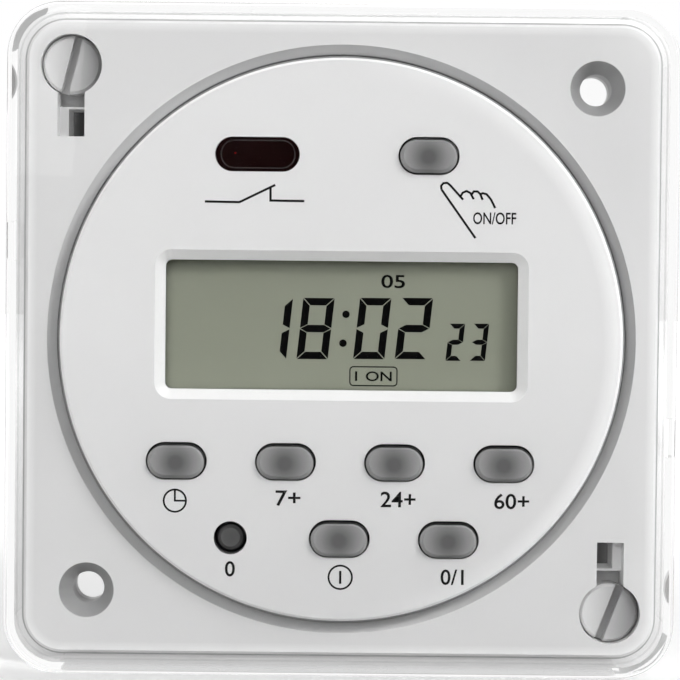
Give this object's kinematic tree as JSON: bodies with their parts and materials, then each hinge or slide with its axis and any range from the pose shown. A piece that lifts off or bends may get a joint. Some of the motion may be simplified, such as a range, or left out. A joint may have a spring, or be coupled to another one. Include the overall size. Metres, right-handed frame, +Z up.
{
  "type": "digital timer switch",
  "caption": "Square panel-mounted digital timer with round keyed face, display, clear lift-off cover, swing-out clamps and rear push-on blades.",
  "frame": {"origin": "centre of the flange's rear face, which lies on the panel", "axes": "-Y out of the front, +X right and +Z up as seen from the front"},
  "size_m": [0.06, 0.032, 0.06],
  "materials": {
    "white_plastic": "satin white moulded plastic",
    "panel_plastic": "satin white moulded plastic",
    "rear_plastic": "light grey moulded plastic",
    "clear_plastic": "clear polished plastic",
    "clear_pane": "clear polished plastic pane",
    "display_glass": "grey-green reflective display glass",
    "holder_plastic": "matte white plastic",
    "contact_rubber": "layered conductive rubber",
    "switch_plastic": "black plastic",
    "dark_lens": "dark red tinted lens",
    "lamp_red": "red lamp body",
    "board_green": "green solder-masked board",
    "screw_steel": "zinc-plated steel",
    "chip_black": "black moulded package",
    "can_steel": "nickel-plated can",
    "relay_black": "black relay case",
    "capacitor_yellow": "yellow boxed film capacitor",
    "capacitor_blue": "sleeved electrolytic can",
    "tinned_brass": "tinned brass",
    "key_plastic": "soft-touch grey key",
    "reset_plastic": "dark grey key",
    "screw_plastic": "light grey plastic screw",
    "nut_brass": "turned brass",
    "claw_steel": "zinc-plated steel claw"
  },
  "bodies": {
    "case": {"base_housing": "white_plastic", "front_panel": "panel_plastic", "display_pane": "clear_pane", "display_glass": "display_glass", "display_holder": "holder_plastic", "contact_strips": "contact_rubber", "key_switches": "switch_plastic", "indicator_lens": "dark_lens", "indicator_lamp": "lamp_red", "main_board": "board_green", "board_screws": "screw_steel", "controller_chip": "chip_black", "quartz_crystal": "can_steel", "backup_cell": "can_steel", "power_board": "board_green", "relay": "relay_black", "dropper_capacitor": "capacitor_yellow", "smoothing_capacitor": "capacitor_blue", "board_header": "switch_plastic", "rear_cover": "rear_plastic", "blade_terminals": "tinned_brass", "clamp_bush_upper": "screw_plastic", "clamp_bush_lower": "screw_plastic"},
    "clear_cover": {"transparent_cover": "clear_plastic"},
    "manual_key": {"key_manual": "key_plastic", "plunger_manual": "switch_plastic"},
    "clock_key": {"key_clock": "key_plastic", "plunger_clock": "switch_plastic"},
    "day_key": {"key_day": "key_plastic", "plunger_day": "switch_plastic"},
    "hour_key": {"key_hour": "key_plastic", "plunger_hour": "switch_plastic"},
    "minute_key": {"key_minute": "key_plastic", "plunger_minute": "switch_plastic"},
    "program_key": {"key_program": "key_plastic", "plunger_program": "switch_plastic"},
    "mode_key": {"key_mode": "key_plastic", "plunger_mode": "switch_plastic"},
    "reset_key": {"key_reset": "reset_plastic", "plunger_reset": "switch_plastic"},
    "screw_upper": {"clamp_screw_upper": "screw_plastic"},
    "nut_upper": {"clamp_nut_upper": "nut_brass"},
    "claw_upper": {"clamp_claw_upper": "claw_steel"},
    "screw_lower": {"clamp_screw_lower": "screw_plastic"},
    "nut_lower": {"clamp_nut_lower": "nut_brass"},
    "claw_lower": {"clamp_claw_lower": "claw_steel"}
  },
  "joints": [
    {"name": "cover_lift", "type": "slide", "parent": "case", "child": "clear_cover", "axis": [0, -1, 0], "range_m": [0, 0.012]},
    {"name": "manual_press", "type": "slide", "parent": "case", "child": "manual_key", "axis": [0, 1, 0], "range_m": [0, 0.0004], "stiffness_N_per_m": 800, "springref_m": -0.0005},
    {"name": "clock_press", "type": "slide", "parent": "case", "child": "clock_key", "axis": [0, 1, 0], "range_m": [0, 0.0004], "stiffness_N_per_m": 800, "springref_m": -0.0005},
    {"name": "day_press", "type": "slide", "parent": "case", "child": "day_key", "axis": [0, 1, 0], "range_m": [0, 0.0004], "stiffness_N_per_m": 800, "springref_m": -0.0005},
    {"name": "hour_press", "type": "slide", "parent": "case", "child": "hour_key", "axis": [0, 1, 0], "range_m": [0, 0.0004], "stiffness_N_per_m": 800, "springref_m": -0.0005},
    {"name": "minute_press", "type": "slide", "parent": "case", "child": "minute_key", "axis": [0, 1, 0], "range_m": [0, 0.0004], "stiffness_N_per_m": 800, "springref_m": -0.0005},
    {"name": "program_press", "type": "slide", "parent": "case", "child": "program_key", "axis": [0, 1, 0], "range_m": [0, 0.0004], "stiffness_N_per_m": 800, "springref_m": -0.0005},
    {"name": "mode_press", "type": "slide", "parent": "case", "child": "mode_key", "axis": [0, 1, 0], "range_m": [0, 0.0004], "stiffness_N_per_m": 800, "springref_m": -0.0005},
    {"name": "reset_press", "type": "slide", "parent": "case", "child": "reset_key", "axis": [0, 1, 0], "range_m": [0, 0.0004], "stiffness_N_per_m": 800, "springref_m": -0.0005},
    {"name": "screw_upper_spin", "type": "hinge", "parent": "case", "child": "screw_upper", "pos_m": [-0.0247, 0, 0.0247], "axis": [0, 1, 0], "range_deg": [-5401, 0]},
    {"name": "nut_upper_travel", "type": "slide", "parent": "case", "child": "nut_upper", "axis": [0, 1, 0], "range_m": [0, 0.00675]},
    {"name": "claw_upper_swing", "type": "hinge", "parent": "nut_upper", "child": "claw_upper", "pos_m": [-0.0247, 0, 0.0247], "axis": [0, 1, 0], "range_deg": [0, 90]},
    {"name": "screw_lower_spin", "type": "hinge", "parent": "case", "child": "screw_lower", "pos_m": [0.0247, 0, -0.0247], "axis": [0, 1, 0], "range_deg": [-5401, 0]},
    {"name": "nut_lower_travel", "type": "slide", "parent": "case", "child": "nut_lower", "axis": [0, 1, 0], "range_m": [0, 0.00675]},
    {"name": "claw_lower_swing", "type": "hinge", "parent": "nut_lower", "child": "claw_lower", "pos_m": [0.0247, 0, -0.0247], "axis": [0, 1, 0], "range_deg": [0, 90]}
  ],
  "couplings": [
    {"joint": "screw_upper_spin", "follows": "nut_upper_travel", "rad_per_m": -13963},
    {"joint": "screw_lower_spin", "follows": "nut_lower_travel", "rad_per_m": -13963}
  ]
}
